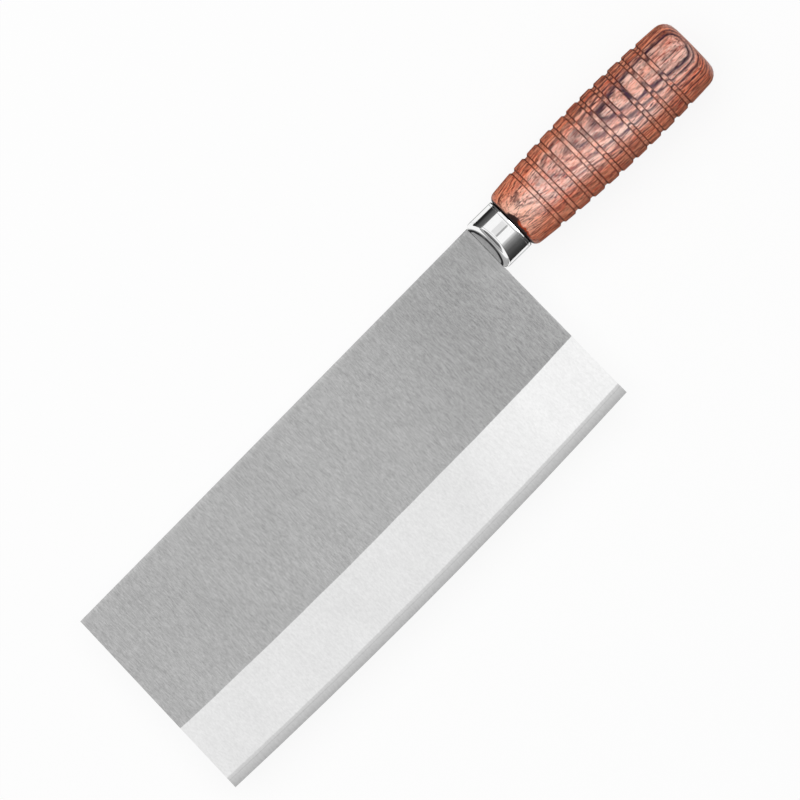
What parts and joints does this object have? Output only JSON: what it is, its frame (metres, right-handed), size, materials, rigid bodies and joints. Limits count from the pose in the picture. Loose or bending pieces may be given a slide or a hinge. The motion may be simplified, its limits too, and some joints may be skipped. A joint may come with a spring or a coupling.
{
  "type": "chinese cleaver",
  "caption": "Broad rectangular kitchen knife with a layered steel blade, a polished collar and a round grooved wooden handle.",
  "frame": {"origin": "under the centre of the knife's bounding box, on the plane that the handle's belly touches", "axes": "+X along the handle from the blade's tip to the butt, +Y from the cutting edge to the spine, +Z out of the blade's face"},
  "size_m": [0.3176, 0.0958, 0.0317],
  "materials": {
    "clad_steel": "brushed across the blade, ground bevel brighter",
    "core_steel": "honed",
    "polished_steel": "mirror polished stainless steel",
    "weld_steel": "as welded",
    "rosewood": "oiled, satin, dark veins along the handle",
    "resin": "cast"
  },
  "bodies": {
    "root": {"blade_core": "core_steel", "blade_cladding_front": "clad_steel", "blade_cladding_back": "clad_steel", "ferrule": "polished_steel", "ferrule_weld": "weld_steel", "handle": "rosewood", "tang_resin": "resin"}
  },
  "joints": []
}
